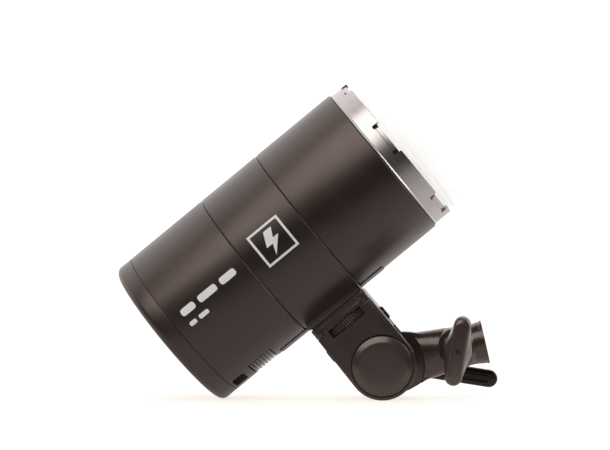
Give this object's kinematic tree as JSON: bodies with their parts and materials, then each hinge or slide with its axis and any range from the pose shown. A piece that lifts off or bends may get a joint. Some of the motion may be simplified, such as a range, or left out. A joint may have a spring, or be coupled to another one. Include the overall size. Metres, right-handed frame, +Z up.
{
  "type": "monolight strobe",
  "caption": "Round battery studio flash with a frosted dome, on a tilting bracket with stand socket, umbrella sleeve, tilt lever and winged clamp.",
  "frame": {"origin": "under the middle of the bounding box, on the table that the strobe rests on", "axes": "+X towards the flash front and the stand socket, +Y away from the clamp handle, +Z up"},
  "size_m": [0.2314, 0.1024, 0.2062],
  "materials": {
    "casing": "fine satin texture",
    "bracket": "black powder coat",
    "ring_metal": "turned and polished",
    "frost": "frosted",
    "rubber": "matt",
    "grip_plastic": "soft satin",
    "lever_plastic": "gloss",
    "display_glass": "gloss",
    "steel": "brushed",
    "dark_steel": "blackened",
    "brass": "turned",
    "mirror_metal": "polished",
    "ceramic": "glazed",
    "tube_glass": "clear",
    "circuit_board": "solder mask",
    "cell_wrap": "shrink wrap",
    "can_metal": "sleeved",
    "inner_plastic": "moulded",
    "light_pipe": "clear"
  },
  "bodies": {
    "head": {"rear_cap": "casing", "rear_housing": "casing", "middle_band": "casing", "front_housing": "casing", "mount_ring": "ring_metal", "dome_gasket": "rubber", "dome": "frost", "inlet_grille": "casing", "underside_pads": "rubber", "usb_port": "steel", "charge_light": "light_pipe", "display_window": "display_glass", "display_module": "inner_plastic", "control_board": "circuit_board", "dial_encoder": "inner_plastic", "panel_screws": "dark_steel", "chassis": "inner_plastic", "battery_cells": "cell_wrap", "cell_cradle": "inner_plastic", "capacitors": "can_metal", "power_board": "circuit_board", "trigger_board": "circuit_board", "fan_frame": "inner_plastic", "heat_sink": "ring_metal", "tube_socket": "ceramic", "flash_tube": "tube_glass", "lamp_board": "circuit_board", "reflector": "mirror_metal", "threaded_insert": "brass", "mount_plate": "bracket", "stand_block": "bracket", "umbrella_tube": "dark_steel", "pinch_screw": "dark_steel", "hinge_cap": "grip_plastic", "hinge_bolt": "steel", "hinge_nut": "dark_steel", "friction_discs": "brass"},
    "fan": {"fan_rotor": "inner_plastic"},
    "dial": {"dial_knob": "grip_plastic"},
    "power_key": {"power_button": "grip_plastic"},
    "test_key": {"test_button": "grip_plastic"},
    "lamp_key": {"lamp_button": "grip_plastic"},
    "menu_key": {"menu_button": "grip_plastic"},
    "mount_wheel": {"thumbwheel": "grip_plastic", "mounting_screw": "steel"},
    "arm": {"stand_arm": "bracket", "socket_bush": "ring_metal"},
    "pad": {"clamp_pad": "brass"},
    "handle": {"clamp_screw": "steel", "clamp_handle": "grip_plastic", "handle_pin": "dark_steel"},
    "lever": {"tilt_lever": "lever_plastic"}
  },
  "joints": [
    {"name": "tilt", "type": "hinge", "parent": "head", "child": "arm", "pos_m": [0.04548, 0, 0.02075], "axis": [0, 1, 0], "range_deg": [-26.7, 153.3]},
    {"name": "tilt_lock", "type": "hinge", "parent": "head", "child": "lever", "pos_m": [0.04548, 0, 0.02075], "axis": [0, 1, 0], "range_deg": [-30, 60]},
    {"name": "clamp_feed", "type": "slide", "parent": "arm", "child": "pad", "axis": [0, 1, 0], "range_m": [0, 0.0025]},
    {"name": "clamp_turn", "type": "hinge", "parent": "pad", "child": "handle", "pos_m": [0.09064, 0, 0.03093], "axis": [0, 1, 0], "range_deg": [0, 722]},
    {"name": "wheel_turn", "type": "hinge", "parent": "head", "child": "mount_wheel", "pos_m": [0.02389, 0, 0.04702], "axis": [-0.6347, 0, 0.7727], "continuous": true},
    {"name": "dial_turn", "type": "hinge", "parent": "head", "child": "dial", "pos_m": [-0.06735, 0, 0.02513], "axis": [0.7727, 0, 0.6347], "continuous": true},
    {"name": "fan_spin", "type": "hinge", "parent": "head", "child": "fan", "pos_m": [-0.0031, 0, 0.10509], "axis": [0.7727, 0, 0.6347], "continuous": true},
    {"name": "power_press", "type": "slide", "parent": "head", "child": "power_key", "axis": [0.7727, 0, 0.6347], "range_m": [0, 0.001], "stiffness_N_per_m": 1500, "springref_m": -0.0006},
    {"name": "test_press", "type": "slide", "parent": "head", "child": "test_key", "axis": [0.7727, 0, 0.6347], "range_m": [0, 0.001], "stiffness_N_per_m": 1500, "springref_m": -0.0006},
    {"name": "lamp_press", "type": "slide", "parent": "head", "child": "lamp_key", "axis": [0.7727, 0, 0.6347], "range_m": [0, 0.001], "stiffness_N_per_m": 1500, "springref_m": -0.0006},
    {"name": "menu_press", "type": "slide", "parent": "head", "child": "menu_key", "axis": [0.7727, 0, 0.6347], "range_m": [0, 0.001], "stiffness_N_per_m": 1500, "springref_m": -0.0006}
  ],
  "couplings": [
    {"joint": "clamp_turn", "follows": "clamp_feed", "rad_per_m": 5026.5}
  ]
}
